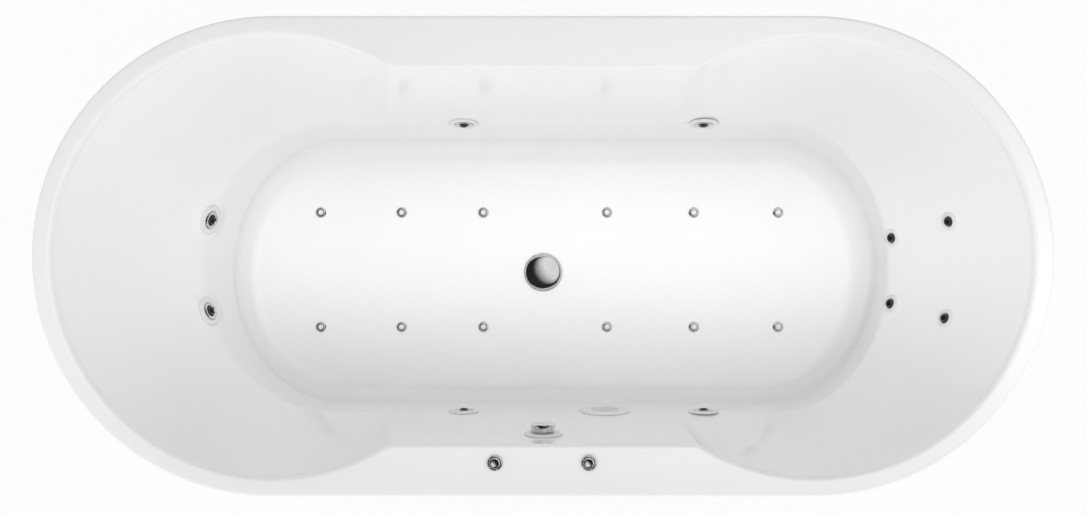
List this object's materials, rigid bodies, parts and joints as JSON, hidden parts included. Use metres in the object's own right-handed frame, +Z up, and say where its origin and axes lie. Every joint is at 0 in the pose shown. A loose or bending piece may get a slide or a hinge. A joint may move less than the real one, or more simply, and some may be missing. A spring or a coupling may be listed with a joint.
{
  "type": "jetted bathtub",
  "caption": "Oval white jetted bathtub with wall jets, floor air jets, pop-up waste, overflow knob, push buttons, pump, blower and levelling frame.",
  "frame": {"origin": "on the floor, under the middle of the whole object", "axes": "+X towards the end with the small back jets, +Y towards the long side without the overflow, +Z up"},
  "size_m": [1.7, 0.8, 0.6065],
  "materials": {
    "white_acrylic": "gloss",
    "chrome": "polished",
    "dark_nozzle": "satin",
    "white_fitting": "satin",
    "white_pvc": "matte",
    "grey_hose": "matte",
    "seal_rubber": "matte",
    "plywood": "matte",
    "frame_paint": "satin",
    "zinc_steel": "satin",
    "pump_black": "matte",
    "motor_paint": "satin",
    "box_grey": "matte",
    "rotor_metal": "satin"
  },
  "bodies": {
    "tub": {"tub_shell": "white_acrylic", "timber_boards": "plywood", "support_frame": "frame_paint", "frame_screws": "zinc_steel", "foot_lock_nuts": "zinc_steel", "machine_trays": "zinc_steel", "drain_flange": "chrome", "waste_trap": "white_pvc", "overflow_rosette": "white_fitting", "overflow_elbow": "white_pvc", "overflow_pipe": "white_pvc", "lift_cable": "grey_hose", "jet_flanges": "white_fitting", "jet_bodies": "white_pvc", "air_jet_caps": "chrome", "air_jet_bodies": "white_pvc", "air_rails": "white_pvc", "suction_grille": "white_fitting", "suction_body": "white_pvc", "button_bezels": "chrome", "button_bodies": "white_pvc", "pump_motor": "motor_paint", "pump_volute": "pump_black", "fan_cover": "pump_black", "blower_housing": "pump_black", "blower_lid": "pump_black", "control_box": "box_grey", "control_box_lid": "pump_black", "water_pipe": "white_pvc", "suction_pipe": "white_pvc", "back_jet_hoses": "grey_hose", "blower_hose": "grey_hose"},
    "knob": {"overflow_knob": "chrome"},
    "plug": {"drain_plug": "chrome", "plug_seal": "seal_rubber"},
    "button_1": {"button_cap_1": "chrome"},
    "button_2": {"button_cap_2": "chrome"},
    "pump_rotor": {"pump_impeller": "rotor_metal", "pump_fan": "rotor_metal"},
    "blower_wheel": {"blower_rotor": "rotor_metal"},
    "jet_control_1": {"jet_ring_1": "chrome"},
    "jet_eyeball_1": {"jet_nozzle_1": "dark_nozzle"},
    "jet_control_2": {"jet_ring_2": "chrome"},
    "jet_eyeball_2": {"jet_nozzle_2": "dark_nozzle"},
    "jet_control_3": {"jet_ring_3": "chrome"},
    "jet_eyeball_3": {"jet_nozzle_3": "dark_nozzle"},
    "jet_control_4": {"jet_ring_4": "chrome"},
    "jet_eyeball_4": {"jet_nozzle_4": "dark_nozzle"},
    "jet_control_5": {"jet_ring_5": "chrome"},
    "jet_eyeball_5": {"jet_nozzle_5": "dark_nozzle"},
    "jet_control_6": {"jet_ring_6": "chrome"},
    "jet_eyeball_6": {"jet_nozzle_6": "dark_nozzle"},
    "back_eyeball_1": {"back_nozzle_1": "dark_nozzle"},
    "back_eyeball_2": {"back_nozzle_2": "dark_nozzle"},
    "back_eyeball_3": {"back_nozzle_3": "dark_nozzle"},
    "back_eyeball_4": {"back_nozzle_4": "dark_nozzle"},
    "foot_left_near": {"foot_left_near": "zinc_steel"},
    "foot_left_far": {"foot_left_far": "zinc_steel"},
    "foot_right_near": {"foot_right_near": "zinc_steel"},
    "foot_right_far": {"foot_right_far": "zinc_steel"}
  },
  "joints": [
    {"name": "knob_turn", "type": "hinge", "parent": "tub", "child": "knob", "pos_m": [0, -0.29977, 0.515], "axis": [0, 0.9893, 0.1462], "range_deg": [0, 90]},
    {"name": "plug_lift", "type": "slide", "parent": "tub", "child": "plug", "axis": [0, 0, 1], "range_m": [0, 0.0095]},
    {"name": "button_press_1", "type": "slide", "parent": "tub", "child": "button_1", "axis": [0, 0, -1], "range_m": [0, 0.004], "stiffness_N_per_m": 600, "springref_m": -0.002},
    {"name": "button_press_2", "type": "slide", "parent": "tub", "child": "button_2", "axis": [0, 0, -1], "range_m": [0, 0.004], "stiffness_N_per_m": 600, "springref_m": -0.002},
    {"name": "jet_turn_1", "type": "hinge", "parent": "tub", "child": "jet_control_1", "pos_m": [-0.147, 0.268, 0.3], "axis": [0, -0.9893, 0.1462], "range_deg": [0, 90]},
    {"name": "jet_tilt_1", "type": "hinge", "parent": "jet_control_1", "child": "jet_eyeball_1", "pos_m": [-0.147, 0.268, 0.3], "axis": [1, 0, 0], "range_deg": [-15, 15]},
    {"name": "jet_turn_2", "type": "hinge", "parent": "tub", "child": "jet_control_2", "pos_m": [0.298, 0.268, 0.3], "axis": [0, -0.9893, 0.1462], "range_deg": [0, 90]},
    {"name": "jet_tilt_2", "type": "hinge", "parent": "jet_control_2", "child": "jet_eyeball_2", "pos_m": [0.298, 0.268, 0.3], "axis": [1, 0, 0], "range_deg": [-15, 15]},
    {"name": "jet_turn_3", "type": "hinge", "parent": "tub", "child": "jet_control_3", "pos_m": [-0.147, -0.268, 0.3], "axis": [0, 0.9893, 0.1462], "range_deg": [0, 90]},
    {"name": "jet_tilt_3", "type": "hinge", "parent": "jet_control_3", "child": "jet_eyeball_3", "pos_m": [-0.147, -0.268, 0.3], "axis": [-1, 0, 0], "range_deg": [-15, 15]},
    {"name": "jet_turn_4", "type": "hinge", "parent": "tub", "child": "jet_control_4", "pos_m": [0.298, -0.268, 0.3], "axis": [0, 0.9893, 0.1462], "range_deg": [0, 90]},
    {"name": "jet_tilt_4", "type": "hinge", "parent": "jet_control_4", "child": "jet_eyeball_4", "pos_m": [0.298, -0.268, 0.3], "axis": [-1, 0, 0], "range_deg": [-15, 15]},
    {"name": "jet_turn_5", "type": "hinge", "parent": "tub", "child": "jet_control_5", "pos_m": [-0.61966, -0.08134, 0.30107], "axis": [0.8637, 0.2632, 0.4298], "range_deg": [0, 90]},
    {"name": "jet_tilt_5", "type": "hinge", "parent": "jet_control_5", "child": "jet_eyeball_5", "pos_m": [-0.61966, -0.08134, 0.30107], "axis": [-0.2915, 0.9566, 0], "range_deg": [-15, 15]},
    {"name": "jet_turn_6", "type": "hinge", "parent": "tub", "child": "jet_control_6", "pos_m": [-0.61744, 0.08828, 0.30107], "axis": [0.8575, -0.2862, 0.4274], "range_deg": [0, 90]},
    {"name": "jet_tilt_6", "type": "hinge", "parent": "jet_control_6", "child": "jet_eyeball_6", "pos_m": [-0.61744, 0.08828, 0.30107], "axis": [0.3166, 0.9486, 0], "range_deg": [-15, 15]},
    {"name": "back_tilt_1", "type": "hinge", "parent": "tub", "child": "back_eyeball_1", "pos_m": [0.70967, -0.09861, 0.4408], "axis": [0.2825, 0.9593, 0], "range_deg": [-15, 15]},
    {"name": "back_tilt_2", "type": "hinge", "parent": "tub", "child": "back_eyeball_2", "pos_m": [0.71622, 0.07271, 0.44081], "axis": [-0.2073, 0.9783, 0], "range_deg": [-15, 15]},
    {"name": "back_tilt_3", "type": "hinge", "parent": "tub", "child": "back_eyeball_3", "pos_m": [0.64207, -0.06773, 0.31581], "axis": [0.1936, 0.9811, 0], "range_deg": [-15, 15]},
    {"name": "back_tilt_4", "type": "hinge", "parent": "tub", "child": "back_eyeball_4", "pos_m": [0.64452, 0.05379, 0.31582], "axis": [-0.153, 0.9882, 0], "range_deg": [-15, 15]},
    {"name": "pump_spin", "type": "hinge", "parent": "tub", "child": "pump_rotor", "pos_m": [0.73, 0, 0.194], "axis": [0, 1, 0], "continuous": true},
    {"name": "blower_spin", "type": "hinge", "parent": "tub", "child": "blower_wheel", "pos_m": [-0.706, -0.042, 0.2], "axis": [0, 0, 1], "continuous": true},
    {"name": "foot_screw_left_near", "type": "slide", "parent": "tub", "child": "foot_left_near", "axis": [0, 0, -1], "range_m": [0, 0.02]},
    {"name": "foot_screw_left_far", "type": "slide", "parent": "tub", "child": "foot_left_far", "axis": [0, 0, -1], "range_m": [0, 0.02]},
    {"name": "foot_screw_right_near", "type": "slide", "parent": "tub", "child": "foot_right_near", "axis": [0, 0, -1], "range_m": [0, 0.02]},
    {"name": "foot_screw_right_far", "type": "slide", "parent": "tub", "child": "foot_right_far", "axis": [0, 0, -1], "range_m": [0, 0.02]}
  ],
  "couplings": [
    {"joint": "plug_lift", "follows": "knob_turn", "m_per_rad": 0.00573}
  ]
}
